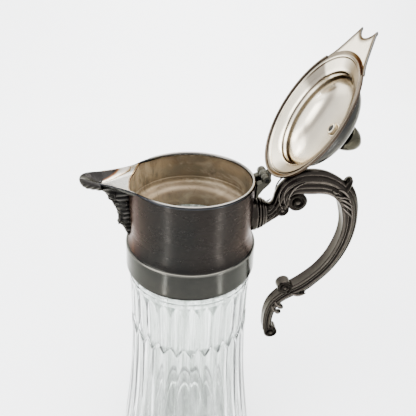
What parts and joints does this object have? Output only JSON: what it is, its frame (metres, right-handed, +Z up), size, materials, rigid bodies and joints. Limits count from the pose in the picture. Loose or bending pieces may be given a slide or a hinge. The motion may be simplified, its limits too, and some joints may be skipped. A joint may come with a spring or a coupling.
{
  "type": "claret jug",
  "caption": "Fluted glass claret jug with a plated metal collar, pouring lip, scrolled handle and a hinged domed lid with a finial, lid thrown back.",
  "frame": {"origin": "centre of the base, on the table plane", "axes": "+Z up, the pouring lip points to -X, the handle to +X, the hinge axis lies along Y"},
  "size_m": [0.19, 0.113, 0.347],
  "materials": {
    "glass": "clear pressed glass, fluted outside, smooth inside",
    "plaster": "white bedding plaster, hidden between the neck and the collar",
    "plate_dark": "silver plated brass sheet, darkly tarnished, still glossy",
    "plate_bright": "silver plated brass sheet, light, with a warm tint and fine scratches",
    "plate_warm": "silver plated brass, tinted brown and gold by tarnish",
    "plate_cast": "silver plated casting, dark in the hollows, rubbed bright on the edges",
    "pin_steel": "plain drawn metal rod"
  },
  "bodies": {
    "jug": {"glass_body": "glass", "cement_ring": "plaster", "collar_shell": "plate_dark", "base_band": "plate_dark", "rim_wire": "plate_bright", "inner_sleeve": "plate_warm", "spout_shell": "plate_bright", "spout_tip": "plate_cast", "spout_leaf": "plate_cast", "hinge_bracket": "plate_cast", "hinge_pin": "pin_steel", "handle_boss": "plate_cast", "handle": "plate_cast"},
    "lid": {"hinge_leaf": "plate_cast", "lid_shell": "plate_bright", "lid_ring": "plate_warm", "finial": "plate_cast", "finial_stud": "pin_steel", "finial_washer": "plate_bright", "finial_nut": "plate_bright"}
  },
  "joints": [
    {"name": "lid_hinge", "type": "hinge", "parent": "jug", "child": "lid", "pos_m": [0.0472, 0, 0.2567], "axis": [0, 1, 0], "range_deg": [-119, 0]}
  ]
}
